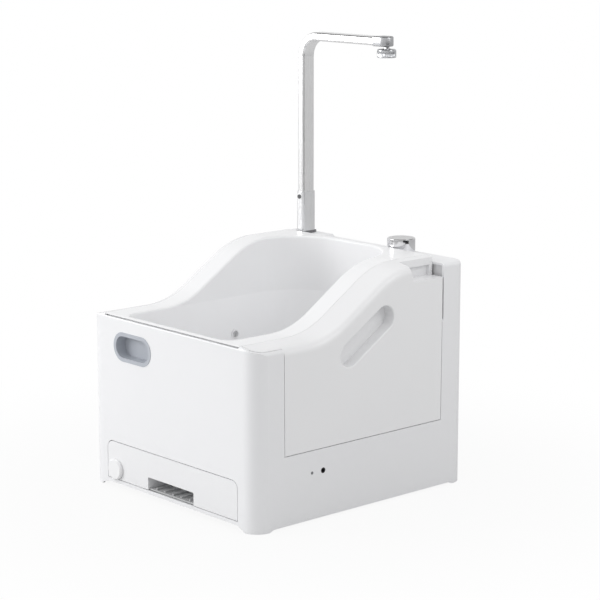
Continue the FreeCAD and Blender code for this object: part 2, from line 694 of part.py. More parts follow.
def make_tub():
    outside = common(stored("rim_outside", rim_block(half_width.number, 0)), tub_plan(0))
    inside = common(stored("rim_inside", rim_block(half_width.number - s.tub_wall.number,
                                                   s.tub_wall.number)),
                    tub_plan(s.tub_wall))
    pockets = both_sides(handle_pocket(0)) + both_sides(notch_space(0))
    pocket_walls = (both_sides(handle_pocket(s.tub_wall.number))
                    + both_sides(notch_space(s.tub_wall)))
    front_open = box(-far, far, -far, skirt_front + s.seam, 0, s.front_height - s.apron)
    rear_open = box(-half_width + s.tub_wall, half_width - s.tub_wall,
                    skirt_rear - s.seam - s.tub_wall - 1, far, 0,
                    s.front_height + s.rim_rise - s.apron)
    skin = cut(cut(outside, *pockets), cut(inside, *pocket_walls), front_open,
               cut(rear_open, *pocket_walls))
    bowl = common(basin(s.tub_wall), stored("rim_limit", rim_block(half_width.number, 0)))
    tail = cylinder(s.drain_bore + s.tub_wall, s.tail_length + s.tub_wall, 0, drain_y,
                    tub_floor - s.tub_wall - s.tail_length)
    bore = cylinder(s.drain_bore, far, 0, drain_y, s.tray_top - s.tail_length - 5)
    port = cylinder(s.port_radius + s.turn_gap, s.port_depth + 14, port_wall - s.port_depth,
                    port_y, port_z, "x")
    brow = common(front_block(),
                  box(-brow_half, brow_half, -far, -half_depth + s.lip + s.seam + 1,
                      s.front_height - s.brow_thick, s.front_height))
    sharp = cut(fuse(skin, fuse(bowl, tail), brow), basin(as_size(0)), bore, port)
    doc.recompute()
    inner, mouths = rim_edges(sharp.Shape)
    shape = sharp.Shape.makeFillet(s.mouth_round.number, mouths)
    inner, mouths = rim_edges(shape)
    shape = shape.makeFillet(s.lip_round.number, inner)
    whole = stored("tub_whole", shape)
    crest = crest_half
    keep("tub", common(whole, box(-crest, crest, -far, far, 0, rim_top + 1)))
    side = common(whole, box(crest + s.parting, far, -far, far, 0, rim_top + 1))
    panel = fuse(side, *panel_flange())
    keep("side_panel_right", panel)
    keep("side_panel_left", mirrored(panel))


def make_tub_fittings():
    plate = s.strainer_plate
    strainer = turned("drain_strainer_plate",
                      [(0, 0), (s.drain_bore - s.turn_gap - 1.5, 0),
                       (s.drain_bore - s.turn_gap - 1.5, -6), (s.drain_bore - s.turn_gap, -6),
                       (s.drain_bore - s.turn_gap, 0), (s.strainer_radius, 0),
                       (s.strainer_radius - plate, plate), (0, plate)],
                      0, drain_y, tub_floor + s.rest_gap)
    slots = []
    for turn in range(round(s.strainer_slots.number)):
        slot = box(6, s.drain_bore - 4, -1.1, 1.1, -1, plate + 1)
        spun = doc.addObject("Part::MultiFuse", "slot")
        spun.Shapes = [slot, box(6, 7, -1, 1, -1, plate + 1)]
        place(spun, 0, drain_y, tub_floor + s.rest_gap, V(0, 0, 1),
              360 / s.strainer_slots.number * turn)
        slots.append(spun)
    keep("drain_strainer", cut(strainer, *slots))
    gasket_top = tub_floor - s.tub_wall - s.thread_gap
    keep("drain_gasket",
         turned("drain_gasket", [(s.drain_bore + s.tub_wall + s.thread_gap, 0),
                                 (s.gasket_radius, 0), (s.gasket_radius, s.gasket_thick),
                                 (s.drain_bore + s.tub_wall + s.thread_gap, s.gasket_thick)],
                0, drain_y, gasket_top - s.gasket_thick))
    plug = cylinder(s.port_radius, s.port_depth, port_wall - s.port_depth + 2, port_y,
                    port_z, "x")
    bore = cylinder(s.port_radius - 2, s.port_depth, port_wall - s.port_depth + 4, port_y,
                    port_z, "x")
    keep("overflow_port", cut(plug, bore))


# --- inner tray, base, feet -----------------------------------------------------------

def make_inner_tray():
    gap = s.slide_gap
    plate = rounded_prism(-inner_half + gap, inner_half - gap, -inner_depth + gap,
                          inner_depth - gap, s.tray_top - s.tray_plate, s.tray_top,
                          inner_round - gap)
    pads = []
    for x in (-70, 70):
        for y in (floor_front + 45, floor_rear - 30):
            pads.append(cylinder(12, s.tray_pad - s.rest_gap + 0.5, x, y, s.tray_top - 0.5))
    partition = box(-inner_half + gap, inner_half - gap, partition_front,
                    partition_front + s.tray_plate, s.tray_top - 1,
                    deck - s.wall - s.slide_gap)
    nut_relief = cylinder(bush_outer + s.nut_wall + s.slide_gap, far, spout_x, spout_y,
                          bush_bottom)
    drain = cylinder(s.gasket_radius + 2, 20, 0, drain_y, s.tray_top - 10)
    hose = cylinder(s.hose_radius + 3, 20, spout_x, spout_y, s.tray_top - 10)
    keep("inner_tray", cut(fuse(plate, partition, *pads), drain, hose, nut_relief))


def make_base():
    gap = s.slide_gap
    plate = rounded_prism(-inner_half + gap, inner_half - gap, -inner_depth + gap,
                          inner_depth - gap, s.base_bottom, base_top, inner_round - gap)
    holes = []
    for x in (-inner_half + s.boss_radius - 1, inner_half - s.boss_radius + 1):
        for y in (-boss_y, as_size(0), boss_y):
            holes.append(cylinder(s.screw_radius + s.turn_gap, 20, x, y, s.base_bottom - 5))
    keep("base_plate", cut(plate, *holes))
    pad_x, pad_y = half_width - s.pad_inset, half_depth - s.pad_inset
    for side, x in (("left", -pad_x), ("right", pad_x)):
        for end, y in (("front", -pad_y), ("rear", pad_y)):
            label = f"foot_{end}_{side}"
            keep(label, turned(label, [(0, 0), (s.pad_radius - 1.5, 0), (s.pad_radius, 1.5),
                                       (s.pad_radius, s.base_bottom - s.thread_gap),
                                       (0, s.base_bottom - s.thread_gap)], x, y))
    screws = []
    for x in (-inner_half + s.boss_radius - 1, inner_half - s.boss_radius + 1):
        for y in (-boss_y, as_size(0), boss_y):
            shaft = cylinder(s.screw_radius - 2 * s.thread_gap, 18, x, y,
                             s.base_bottom - 2)
            head = cylinder(s.screw_head, 2.2, x, y, s.base_bottom - 2.25)
            screws.append(fuse(shaft, head))
    group = doc.addObject("Part::Compound", "screws")
    group.Links = screws
    keep("base_screws", group)


# --- filter drawer ------------------------------------------------------------------------

def make_drawer():
    front = -half_depth
    back_of_plate = front + s.drawer_front_plate
    face = front_prism(-drawer_half, drawer_half, s.drawer_bottom, s.drawer_top,
                       front, back_of_plate, 1.5, s.drawer_round)
    outer = box(-tray_half, tray_half, back_of_plate - 1, front + s.tray_depth,
                s.drawer_bottom, s.tray_rim)
    inner = box(-tray_half + s.tray_wall, tray_half - s.tray_wall, back_of_plate,
                front + s.tray_depth - s.tray_wall, s.drawer_bottom + s.tray_wall, s.tray_rim + 1)
    pull_cover = box(-s.pull_half - s.tray_wall, s.pull_half + s.tray_wall, back_of_plate - 1,
                     front + s.pull_depth + s.tray_wall, s.drawer_bottom,
                     s.pull_top + s.tray_wall)
    pull = front_prism(-s.pull_half, s.pull_half, s.drawer_bottom - 10, s.pull_top,
                       front - 1, front + s.pull_depth, 1, 2.5)
    seats = []
    for y in (front + s.tray_depth - 16, front + s.pull_depth + 8):
        seats.append(box(tray_half - s.seat_width, tray_half - 1, y, y + 6, s.drawer_bottom + 1,
                         s.filter_seat - s.rest_gap))
    posts = []
    for seat in seats:
        posts.extend(both_sides(seat))
    stem_hole = cylinder(s.stem_radius + s.turn_gap, 20, valve_x, front - 5, s.valve_z, "y")
    outlet = cylinder(s.hose_radius - s.hose_wall + 0.5, 20, suction_x,
                      front + s.tray_depth - 10, s.suction_z, "y")
    drawer = cut(fuse(cut(fuse(face, outer), inner), pull_cover, *posts), pull, stem_hole, outlet)
    keep("filter_drawer", drawer)


def make_drawer_fittings():
    front = -half_depth
    floor = box(-s.pull_half + s.slide_gap, s.pull_half - s.slide_gap,
                front + s.drawer_front_plate, front + s.pull_depth - s.slide_gap,
                s.drawer_bottom, s.drawer_bottom + s.tray_wall)
    back = box(-s.pull_half + s.slide_gap, s.pull_half - s.slide_gap,
               front + s.pull_depth - s.tray_wall, front + s.pull_depth - s.slide_gap,
               s.drawer_bottom, s.pull_top - s.tray_wall)
    ribs = []
    for number in range(-2, 3):
        x = number * s.pull_half / 2.8
        ribs.append(box(x - s.rib_width / 2, x + s.rib_width / 2,
                        front + s.drawer_front_plate + 2, front + s.pull_depth - 1,
                        s.drawer_bottom + 1, s.drawer_bottom + s.tray_wall + s.rib_height))
    keep("drawer_pull_liner", fuse(floor, back, *ribs))

    y0 = front + s.pull_depth + s.tray_wall + 1
    y1 = front + s.tray_depth - s.tray_wall - 1
    border = s.filter_border
    frame = box(-tray_half + s.tray_wall + 1, tray_half - s.tray_wall - 1, y0, y1,
                s.filter_seat, s.filter_seat + s.filter_thick)
    window = box(-tray_half + s.tray_wall + 1 + border, tray_half - s.tray_wall - 1 - border,
                 y0 + border, y1 - border, s.filter_seat - 1, s.filter_seat + s.filter_thick + 1)
    groove = box(-tray_half + s.tray_wall + border - 2, tray_half - s.tray_wall + 2 - border,
                 y0 + border - 3, y1 - border + 3, s.filter_seat + 2,
                 s.filter_seat + 2 + s.screen_thick + 2 * s.thread_gap)
    keep("filter_frame", cut(frame, window, groove))

    body = doc.addObject("PartDesign::Body", "filter_screen_body")
    outline = body_sketch(body, "XY_Plane", "filter_screen_sheet")
    sheet_half = tray_half - s.tray_wall - border + 1.9
    sheet_y0 = y0 + border - 2.9
    sheet_y1 = y1 - border + 2.9
    outline.polygon([(-sheet_half, sheet_y0), (sheet_half, sheet_y0), (sheet_half, sheet_y1),
                     (-sheet_half, sheet_y1)])
    pad = body.newObject("PartDesign::Pad", "filter_screen_pad")
    pad.Profile = outline.sketch
    bind(pad, "Length", s.screen_thick)
    slot = body_sketch(body, "XY_Plane", "filter_screen_slot")
    slot_x, slot_y = -sheet_half + 14, sheet_y0 + 12
    slot.polygon([(slot_x, slot_y), (slot_x + s.screen_slot, slot_y),
                  (slot_x + s.screen_slot, slot_y + s.screen_slot_high),
                  (slot_x, slot_y + s.screen_slot_high)])
    pocket = body.newObject("PartDesign::Pocket", "filter_screen_cut")
    pocket.Profile = slot.sketch
    pocket.Type = "ThroughAll"
    pocket.Reversed = True
    doc.recompute()
    pattern = body.newObject("PartDesign::MultiTransform", "filter_screen_grid")
    across = body.newObject("PartDesign::LinearPattern", "filter_screen_across")
    along = body.newObject("PartDesign::LinearPattern", "filter_screen_along")
    pattern.Originals = [pocket]
    for step, axis, length, count in ((across, "H_Axis", 2 * sheet_half - 48, 10),
                                      (along, "V_Axis", sheet_y1 - sheet_y0 - 30, 8)):
        step.Direction = (slot.sketch, [axis])
        bind(step, "Length", length)
        step.Occurrences = count
    pattern.Transformations = [across, along]
    body.Tip = pattern
    place(body, 0, 0, s.filter_seat + 2 + s.thread_gap)
    keep("filter_screen", body)

    knob = doc.addObject("PartDesign::Body", "valve_body")
    outline = body_sketch(knob, "XY_Plane", "drain_knob_profile")
    outline.polygon([(0, -s.valve_proud), (s.valve_radius - 2, -s.valve_proud),
                     (s.valve_radius, -s.valve_proud + 2), (s.valve_radius, -s.rest_gap),
                     (0, -s.rest_gap)])
    spin = knob.newObject("PartDesign::Revolution", "drain_knob_spin")
    spin.Profile = outline.sketch
    spin.ReferenceAxis = (outline.sketch, ["V_Axis"])
    knob.Tip = spin
    place(knob, valve_x, front, s.valve_z)
    keep("drain_knob", knob)
    stem = cylinder(s.stem_radius, s.stem_length, valve_x, front - s.rest_gap, s.valve_z, "y")
    collar = cylinder(s.stem_radius + 2.5, 3, valve_x, front + s.stem_length - 3, s.valve_z, "y")
    keep("drain_stem", fuse(stem, collar))
    ring = cylinder(s.seal_radius, s.seal_thick, valve_x, front + s.drawer_front_plate + 0.05,
                    s.valve_z, "y")
    ring_bore = cylinder(s.stem_radius + s.thread_gap, 20, valve_x, front, s.valve_z, "y")
    keep("drain_seal", cut(ring, ring_bore))

    wall = box(tray_half + s.slide_gap, tray_half + s.slide_gap + s.runner_plate, front + 8,
               front + s.tray_depth - 2, base_top + s.thread_gap, s.tray_rim - 20)
    shelf = box(tray_half - 14, tray_half + s.slide_gap + s.runner_plate, front + 8,
                front + s.tray_depth - 2, base_top + s.thread_gap, s.drawer_bottom - s.rest_gap)
    right = fuse(wall, shelf)
    keep("drawer_runner_right", right)
    keep("drawer_runner_left", mirrored(right))


def make_grip():
    front = -half_depth

    def stadium_prism(inset, y0, y1):
        radius = s.grip_height / 2 - inset - 0.01
        return front_prism(grip_x - s.grip_length / 2 + inset,
                           grip_x + s.grip_length / 2 - inset,
                           grip_z - s.grip_height / 2 + inset,
                           grip_z + s.grip_height / 2 - inset, y0, y1, radius)

    ring = stadium_prism(0, front - s.grip_proud, front - s.thread_gap)
    cup = stadium_prism(s.grip_ring / 2 + s.turn_gap, front - s.grip_proud,
                        front + s.grip_depth)
    hollow = stadium_prism(s.grip_ring, front - 5, front + s.grip_depth - s.grip_wall)
    keep("grip_insert", cut(fuse(ring, cup), hollow))


# --- shower spout -----------------------------------------------------------------------

def spout_prism(x_size, y_size, corner, z0, z1):
    return rounded_prism(spout_x - x_size / 2, spout_x + x_size / 2,
                         spout_y - y_size / 2, spout_y + y_size / 2, z0, z1, corner)


def make_spout():
    collar = spout_prism(sleeve_x + 2 * s.collar_grow, sleeve_y + 2 * s.collar_grow,
                         s.sleeve_round + s.collar_grow, plinth + s.thread_gap,
                         plinth + s.collar_thick)
    keep("spout_collar", cut(collar, cylinder(s.spigot_radius + s.turn_gap, 20, spout_x, spout_y,
                                              plinth - 5)))
    sleeve_bottom = plinth + s.collar_thick + s.rest_gap
    sleeve = spout_prism(sleeve_x, sleeve_y, s.sleeve_round, sleeve_bottom, sleeve_top)
    sleeve_bore = spout_prism(s.pipe_x + 2 * s.turn_gap, s.pipe_y + 2 * s.turn_gap,
                              s.pipe_round, sleeve_bottom + 4, sleeve_top + 5)
    spigot = cylinder(s.spigot_radius, sleeve_bottom - spigot_bottom + 4,
                      spout_x, spout_y, spigot_bottom)
    water_way = cylinder(s.barb_radius, far, spout_x, spout_y, spigot_bottom - 5)
    button_bore = cylinder(s.button_radius + s.turn_gap, sleeve_y, spout_x,
                           spout_y - sleeve_y, sleeve_top - s.button_drop, "y")
    keep("spout_sleeve", cut(fuse(sleeve, spigot), sleeve_bore, water_way, button_bore))

    ceiling = deck - s.corner_radius
    keep("spout_bush",
         turned("spout_bush",
                [(bush_bore, bush_bottom),
                 (bush_outer, bush_bottom), (bush_outer, plinth - 1),
                 (bush_bore, plinth - 1)], spout_x, spout_y))
    nut = cylinder(bush_outer + s.nut_wall, s.nut_thick, spout_x, spout_y,
                   ceiling - s.nut_thick - s.rest_gap)
    keep("bush_nut", cut(nut, cylinder(bush_outer + s.thread_gap, 40, spout_x, spout_y,
                                       ceiling - 30)))
    barb = turned("hose_barb",
                  [(s.barb_radius - 2, bush_bottom - s.barb_length),
                   (s.barb_radius - 0.6, bush_bottom - s.barb_length),
                   (s.barb_radius - 0.6, bush_bottom - 4), (bush_outer, bush_bottom - 4),
                   (bush_outer, bush_bottom - s.thread_gap),
                   (s.barb_radius - 2, bush_bottom - s.thread_gap)], spout_x, spout_y)
    keep("spout_hose_barb", barb)


def pipe_route(height, reach):
    """The line through the middle of the spout pipe: up, round one bend, then level."""
    x, y = spout_x.number, spout_y.number
    bend = s.pipe_bend.number
    top = pipe_centre.number
    foot = V(x, y, height)
    bend_start = V(x, y, top - bend)
    bend_end = V(x + bend, y, top)
    middle = V(x + bend * (1 - math.cos(math.pi / 4)), y,
               top - bend * (1 - math.sin(math.pi / 4)))
    return Part.Wire([Part.makeLine(foot, bend_start),
                      Part.Arc(bend_start, middle, bend_end).toShape(),
                      Part.makeLine(bend_end, V(x + reach, y, top))])


def rounded_rectangle(x_size, y_size, corner, centre):
    """A closed wire in the level plane through centre."""
    plane = Part.makePlane(x_size, y_size, centre - V(x_size / 2, y_size / 2, 0))
    block = plane.extrude(V(0, 0, 1))
    uprights = [edge for edge in block.Edges if edge.BoundBox.ZLength > 0.5]
    smooth = block.makeFillet(corner, uprights)
    floor = min(smooth.Faces, key=lambda face: face.CenterOfMass.z)
    return floor.OuterWire


def make_pipe():
    reach = s.pipe_reach.number
    foot = V(spout_x.number, spout_y.number, pipe_tail.number)
    wall = s.pipe_wall.number
    outer = rounded_rectangle(s.pipe_x.number, s.pipe_y.number, s.pipe_round.number, foot)
    inner = rounded_rectangle(s.pipe_x.number - 2 * wall, s.pipe_y.number - 2 * wall,
                              s.pipe_round.number - wall, foot)
    route = pipe_route(pipe_tail.number, reach)
    solid = route.makePipeShell([outer], True, True)
    hollow = route.makePipeShell([inner], True, True)
    pipe = stored("spout_pipe", solid.cut(hollow))
    keep("spout_pipe", pipe)

    block_start = spout_x + s.pipe_reach + 0.05
    block = drawn("top")
    block.rounded_box(block_start, block_start + s.block_length, spout_y - s.block_width / 2,
                      spout_y + s.block_width / 2, 3, 3)
    shell = pushed(block, pipe_centre - s.block_height / 2, pipe_centre + s.block_height / 2)
    plug = box(block_start - 12, block_start + 3,
               spout_y - s.pipe_y / 2 + s.pipe_wall + 0.1,
               spout_y + s.pipe_y / 2 - s.pipe_wall - 0.1,
               pipe_centre - s.pipe_x / 2 + s.pipe_wall + 0.1,
               pipe_centre + s.pipe_x / 2 - s.pipe_wall - 0.1)
    plug_round = rounded(plug, s.pipe_round - s.pipe_wall, lambda edge: edge.BoundBox.XLength > 5)
    channel = cylinder(3, 40, block_start - 20, spout_y, pipe_centre, "x")
    socket = doc.addObject("Part::Sphere", "socket")
    bind(socket, "Radius", s.ball_radius + s.turn_gap)
    place(socket, nozzle_x, spout_y, pipe_centre - s.block_height / 2 + s.ball_sunk)
    keep("spout_elbow", cut(fuse(shell, plug_round), channel, socket))

    neck_top = pipe_centre - s.block_height / 2 + s.ball_sunk
    ball = doc.addObject("Part::Sphere", "ball")
    bind(ball, "Radius", s.ball_radius)
    place(ball, nozzle_x, spout_y, neck_top)
    neck = cylinder(s.neck_radius, neck_top - nozzle_top + 2, nozzle_x, spout_y,
                    nozzle_top - 2)
    flow = cylinder(2.2, 40, nozzle_x, spout_y, nozzle_top - 20)
    keep("nozzle_neck", cut(fuse(ball, neck), flow))


def make_nozzle():
    radius = s.nozzle_radius
    bottom = -s.nozzle_height
    body = turned("nozzle_profile",
                  [(s.neck_radius + s.thread_gap, 0), (radius - 4, 0), (radius - 2, -1.2),
                   (radius - 2, -3.5), (radius, -4.2), (radius, bottom + 1.2),
                   (radius - 1.2, bottom), (radius - 3, bottom), (radius - 3, bottom + 2.6),
                   (radius - 4.5, bottom + 2.6), (radius - 4.5, -4), (s.neck_radius + 0.05, -4)],
                  nozzle_x, spout_y, nozzle_top)
    grooves = []
    for number in range(int(s.knurl_count.number)):
        angle = math.radians(360 * number / s.knurl_count.number)
        grooves.append(cylinder(s.knurl_depth, s.nozzle_height - 7.5,
                                nozzle_x + radius * math.cos(angle),
                                spout_y + radius * math.sin(angle),
                                nozzle_top + bottom + 2))
    keep("nozzle_body", cut(body, *grooves))
    disc = cylinder(radius - 3 - s.thread_gap, 2, nozzle_x, spout_y,
                    nozzle_top + bottom + 0.4)
    jets = []
    for ring, count in ((3.5, 6), (8, 12), (11.5, 18)):
        for number in range(count):
            angle = 2 * math.pi * number / count
            jets.append(cylinder(0.7, 6, nozzle_x + ring * math.cos(angle),
                                 spout_y + ring * math.sin(angle), nozzle_top + bottom - 2))
    keep("nozzle_face", cut(disc, *jets))


def make_sleeve_button():
    front = spout_y - sleeve_y / 2
    z = sleeve_top - s.button_drop
    cap = cylinder(s.button_radius, s.button_proud + s.button_seat, spout_x,
                   front - s.button_proud, z, "y")
    keep("sleeve_lock_button", cap)


# --- flow knob ------------------------------------------------------------------------------

def make_knob():
    x, y = knob_x, knob_y
    lift = s.knob_lift
    keep("control_knob",
         turned("control_knob_ring",
                [(s.knob_shaft + s.thread_gap, 3), (s.knob_radius - 2, 3),
                 (s.knob_radius - 2, lift), (s.knob_radius, lift),
                 (s.knob_radius, s.knob_height - 1), (s.knob_radius - 1, s.knob_height),
                 (s.cap_radius, s.knob_height),
                 (s.cap_radius, s.knob_height - s.cap_thick),
                 (s.knob_shaft + s.thread_gap, s.knob_height - s.cap_thick)], x, y, deck))
    top = s.knob_height - s.cap_thick + s.thread_gap
    keep("knob_cap", turned("knob_cap_disc",
                            [(0, top), (s.cap_radius - s.thread_gap, top),
                             (s.cap_radius - s.thread_gap, s.knob_height - 0.2),
                             (s.cap_radius - 0.8, s.knob_height + 0.3),
                             (0, s.knob_height + 0.3)], x, y, deck))
    shaft_bottom = deck - s.wall - s.sensor_height + 3
    keep("knob_shaft", cylinder(s.knob_shaft, deck + 18 - shaft_bottom, x, y, shaft_bottom))
    sensor = cylinder(s.sensor_radius, s.sensor_height, x, y,
                      deck - s.wall - s.sensor_height - s.thread_gap)
    neck = cylinder(s.sensor_neck, s.wall + 1.5, x, y, deck - s.wall - 1)
    bore = cylinder(s.knob_shaft + s.thread_gap, 40, x, y, shaft_bottom - s.thread_gap)
    keep("knob_sensor", cut(fuse(sensor, neck), bore))


# --- right side sockets -----------------------------------------------------------------------

def make_side_sockets():
    barrel = cylinder(s.jack_radius, s.wall + 1, half_width - s.wall - 1, jack_y, s.jack_z, "x")
    body = box(inner_half - s.jack_body - s.thread_gap, inner_half - s.thread_gap,
               jack_y - 6, jack_y + 6, s.jack_z - 6, s.jack_z + 6)
    bore = cylinder(s.jack_bore, s.jack_depth + 1, half_width - s.jack_depth, jack_y, s.jack_z,
                    "x")
    keep("dc_jack", cut(fuse(barrel, body), bore))
    keep("jack_pin", cylinder(s.jack_pin, s.jack_depth - s.jack_pin_short,
                              half_width - s.jack_depth, jack_y, s.jack_z, "x"))
    lens = cylinder(s.led_radius, s.led_length, half_width - s.led_length, led_y, s.jack_z, "x")
    keep("status_led", lens)
    holder = box(inner_half - 7, inner_half - s.thread_gap, led_y - 5, led_y + 5,
                 s.jack_z - 6, s.jack_z + 6)
    keep("led_holder", cut(holder, cylinder(s.led_radius + s.thread_gap, 30, 0 + inner_half - 20,
                                            led_y, s.jack_z, "x")))


# --- pump, hoses, board -------------------------------------------------------------------------

def make_pump():
    x, y, z = pump_x, pump_y, s.pump_z
    front = y + 2 - s.head_length
    motor = cylinder(s.motor_radius, s.motor_length, x, y + 2, z, "y")
    head = cylinder(s.pump_radius, s.head_length, x, front, z, "y")
    outlet = cylinder(s.hose_radius - s.hose_wall, 16, x - s.pump_radius - 12, y - 12, z, "x")
    boss = box(x - s.pump_radius, x, y - 19, y - 5, z - 8, z + 8)
    inlet_run = box(x, suction_x + 7, front, y - 4, s.suction_z - 7, s.suction_z + 7)
    inlet = cylinder(s.hose_radius - s.hose_wall, 24, suction_x, front - 20, s.suction_z, "y")
    keep("pump", fuse(motor, head, outlet, boss, inlet_run, inlet))
    foot = box(x - 32, x + 32, y - 22, y + 44, base_top + s.thread_gap, base_top + 3)
    cradle = box(x - 20, x + 20, y - 20, y + 40, base_top + 1, z)
    saddle = cylinder(s.pump_radius + s.thread_gap, s.head_length, x, front, z, "y")
    saddle_rear = cylinder(s.motor_radius + s.thread_gap, s.motor_length + 30, x, front + 6,
                           z, "y")
    run = box(x - 1, suction_x + 8, front - 1, y - 3, s.suction_z - 8, s.suction_z + 8)
    keep("pump_cradle", cut(fuse(foot, cradle), saddle, saddle_rear, run))


def tube(label, edges, radius, bore):
    """A hose along a chain of straight runs and arcs."""
    route = Part.Wire(edges)
    start = route.Edges[0].valueAt(route.Edges[0].FirstParameter)
    aim = route.Edges[0].tangentAt(route.Edges[0].FirstParameter)
    outer = Part.Wire([Part.makeCircle(radius, start, aim)])
    inner = Part.Wire([Part.makeCircle(bore, start, aim)])
    solid = route.makePipeShell([outer], True, True)
    hollow = route.makePipeShell([inner], True, True)
    keep(label, stored(label, solid.cut(hollow)))


def corner_arc(corner, arrive, leave, radius):
    """The quarter arc that rounds a corner between two square directions."""
    start = corner - arrive * radius
    end = corner + leave * radius
    centre = start + leave * radius
    middle = centre + ((corner - centre).normalize() * radius)
    return start, Part.Arc(start, middle, end).toShape(), end


def make_hoses():
    radius = s.hose_radius.number
    bore = radius - s.hose_wall.number + 0.02
    bend = s.hose_bend.number
    left, back, up = V(-1, 0, 0), V(0, 1, 0), V(0, 0, 1)
    start = V(pump_x.number - s.pump_radius.number - 1, pump_y.number - 12, s.pump_z.number)
    first = V(spout_x.number, start.y, start.z)
    second = V(spout_x.number, spout_y.number, start.z)
    top = V(spout_x.number, spout_y.number, bush_bottom.number - 5)
    a_start, a_arc, a_end = corner_arc(first, left, back, bend)
    b_start, b_arc, b_end = corner_arc(second, back, up, bend)
    edges = [Part.makeLine(start, a_start), a_arc, Part.makeLine(a_end, b_start), b_arc,
             Part.makeLine(b_end, top)]
    tube("riser_hose", edges, radius, bore)
    suction_end = pump_y.number - 27
    suction_start = -half_depth.number + s.tray_depth.number + 3
    tube("suction_hose",
         [Part.makeLine(V(suction_x.number, suction_start, s.suction_z.number),
                        V(suction_x.number, suction_end, s.suction_z.number))], radius, bore)
    clips = []
    outer = s.hose_radius + s.clip_wall
    for x, y, z, axis in ((pump_x - s.pump_radius - 11, pump_y - 12, s.pump_z, "x"),
                          (suction_x, pump_y - 38, s.suction_z, "y"),
                          (spout_x, spout_y, bush_bottom - 20, "z")):
        band = cylinder(outer, s.clip_width, x, y, z, axis)
        hole = cylinder(s.hose_radius + s.thread_gap, s.clip_width, x, y, z, axis)
        clips.append(cut(band, hole))
    group = doc.addObject("Part::Compound", "clips")
    group.Links = clips
    keep("hose_clips", group)
    coupler = box(suction_x - 12, suction_x + 12, -half_depth + s.tray_depth + 1,
                  -half_depth + s.tray_depth + 9, base_top + s.thread_gap, s.suction_z + 12)
    hole = cylinder(s.hose_radius + s.thread_gap, 40, suction_x, -half_depth + s.tray_depth - 10,
                    s.suction_z, "y")
    keep("suction_coupler", cut(coupler, hole))


def make_board():
    y = partition_front + s.tray_plate
    board_x = knob_x + s.board_aside
    board_z = deck - s.board_drop
    x0, x1 = board_x - s.board_long / 2, board_x + s.board_long / 2
    z0, z1 = board_z - s.board_high / 2, board_z + s.board_high / 2
    face = y + s.standoff
    plate = box(x0, x1, face, face + s.board_thick, z0, z1)
    parts = [box(x0 + 10, x0 + 26, face, face + 5, z0 + 8, z0 + 20),
             box(x0 + 34, x0 + 48, face, face + 4, z0 + 14, z0 + 28),
             cylinder(4, 12, x1 - 14, face, z0 + 14, "y"),
             cylinder(4, 12, x1 - 14, face, z0 + 26, "y"),
             box(x0 + 8, x0 + 30, face, face + 8, z1 - 12, z1 - 4)]
    keep("control_board", fuse(plate, *parts))
    screws = []
    for x in (x0 + 4, x1 - 4):
        for z in (z0 + 4, z1 - 4):
            spacer = cylinder(2.6, s.standoff - 2 * s.thread_gap, x, y + s.thread_gap, z, "y")
            head = cylinder(2.6, 1.6, x, face + s.board_thick + s.thread_gap, z, "y")
            screws.extend((spacer, head))
    group = doc.addObject("Part::Compound", "board_screws")
    group.Links = screws
    keep("board_spacers", group)


for make in (make_housing, make_tub, make_tub_fittings, make_inner_tray, make_base, make_drawer,
             make_drawer_fittings, make_grip, make_spout, make_pipe, make_nozzle,
             make_sleeve_button, make_knob, make_side_sockets, make_pump, make_hoses, make_board):
    make()
doc.recompute()

faults = [thing.Label for thing in doc.Objects
          if "Invalid" in thing.State or "Error" in thing.State]
for label, thing in subparts.items():
    if thing.Shape.isNull() or not thing.Shape.isValid() or not thing.Shape.Solids:
        faults.append(label)
if faults:
    raise SystemExit("these did not build: " + ", ".join(faults))

os.makedirs("parts", exist_ok=True)
for label, thing in subparts.items():
    thing.Shape.exportStep(f"parts/{label}.step")
    print(label, len(thing.Shape.Solids), round(thing.Shape.Volume))
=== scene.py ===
import json
import math

import bmesh
import bpy
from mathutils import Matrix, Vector


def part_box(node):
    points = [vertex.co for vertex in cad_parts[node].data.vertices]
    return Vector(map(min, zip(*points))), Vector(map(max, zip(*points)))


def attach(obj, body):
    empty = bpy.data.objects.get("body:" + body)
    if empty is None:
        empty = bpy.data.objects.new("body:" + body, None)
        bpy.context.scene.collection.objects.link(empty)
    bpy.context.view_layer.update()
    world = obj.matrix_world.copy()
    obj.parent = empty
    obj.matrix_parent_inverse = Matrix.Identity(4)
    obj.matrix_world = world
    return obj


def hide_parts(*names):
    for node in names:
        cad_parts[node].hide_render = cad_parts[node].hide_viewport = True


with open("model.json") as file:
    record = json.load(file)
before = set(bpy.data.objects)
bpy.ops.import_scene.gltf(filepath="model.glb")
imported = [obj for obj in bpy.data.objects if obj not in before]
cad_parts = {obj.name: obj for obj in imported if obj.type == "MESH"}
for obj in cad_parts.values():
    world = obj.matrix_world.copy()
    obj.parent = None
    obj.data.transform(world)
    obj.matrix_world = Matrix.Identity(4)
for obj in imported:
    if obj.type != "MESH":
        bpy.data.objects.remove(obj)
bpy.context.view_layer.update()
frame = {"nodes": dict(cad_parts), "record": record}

# Pet bathtub. Metres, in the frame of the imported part: +X right, -Y front, +Z up.

scene = bpy.context.scene
scene.view_settings.view_transform = "Standard"
scene.view_settings.look = "None"

MM = 0.001

# Most of a noise node's values lie between these two.
NOISE_LOW = 0.3
NOISE_HIGH = 0.7

# Patterns of the finishes, in waves per metre.
CLOUD_SCALE = 5.0
SMUDGE_SCALE = 24.0
HAZE_SCALE = 30.0
METAL_GRAIN = 2600.0
BRUSH_LENGTHWAYS = 24.0


# --- node helpers ---------------------------------------------------------------------

